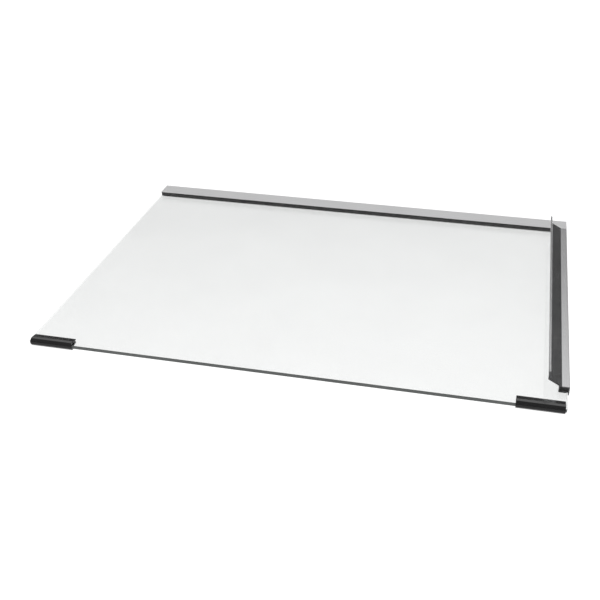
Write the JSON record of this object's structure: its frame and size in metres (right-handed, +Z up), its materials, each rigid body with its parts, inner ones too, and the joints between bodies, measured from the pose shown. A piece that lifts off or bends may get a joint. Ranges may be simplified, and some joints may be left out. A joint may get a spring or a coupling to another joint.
{
  "type": "sneeze guard",
  "caption": "Flat clear guard panel with a metal rail along the rear edge, a raised finger-pull stile along the right edge and push-on clips at the front corners.",
  "frame": {"origin": "middle of the underside, level with the rail's lower leg and the clips' flats", "axes": "+X right along the rear rail towards the side stile, +Y to the rear rail, +Z up out of the pane"},
  "size_m": [0.602, 0.4578, 0.0315],
  "materials": {
    "pane_glass": "clear, polished faces, fine ground edges",
    "rail_aluminium": "satin anodised, brushed lengthwise",
    "stile_aluminium": "satin anodised, brushed lengthwise",
    "gasket_rubber": "matt black",
    "bedding_rubber": "matt black",
    "block_rubber": "matt black",
    "tape_foam": "dark grey foam",
    "plug_plastic": "matt black",
    "clip_plastic": "semi-gloss black"
  },
  "bodies": {
    "root": {"glass_pane": "pane_glass", "rear_rail_rear_wall": "rail_aluminium", "rear_rail_plate": "rail_aluminium", "rear_rail_rib": "rail_aluminium", "rear_rail_leg": "rail_aluminium", "rear_rail_wedge_gasket": "gasket_rubber", "rear_rail_bedding_strip": "bedding_rubber", "rear_setting_block_left": "block_rubber", "rear_setting_block_right": "block_rubber", "side_stile_channel": "stile_aluminium", "side_stile_web": "stile_aluminium", "side_stile_lip": "stile_aluminium", "side_stile_bonding_tape": "tape_foam", "side_stile_end_plug": "plug_plastic", "left_edge_clip": "clip_plastic", "right_edge_clip": "clip_plastic"}
  },
  "joints": []
}
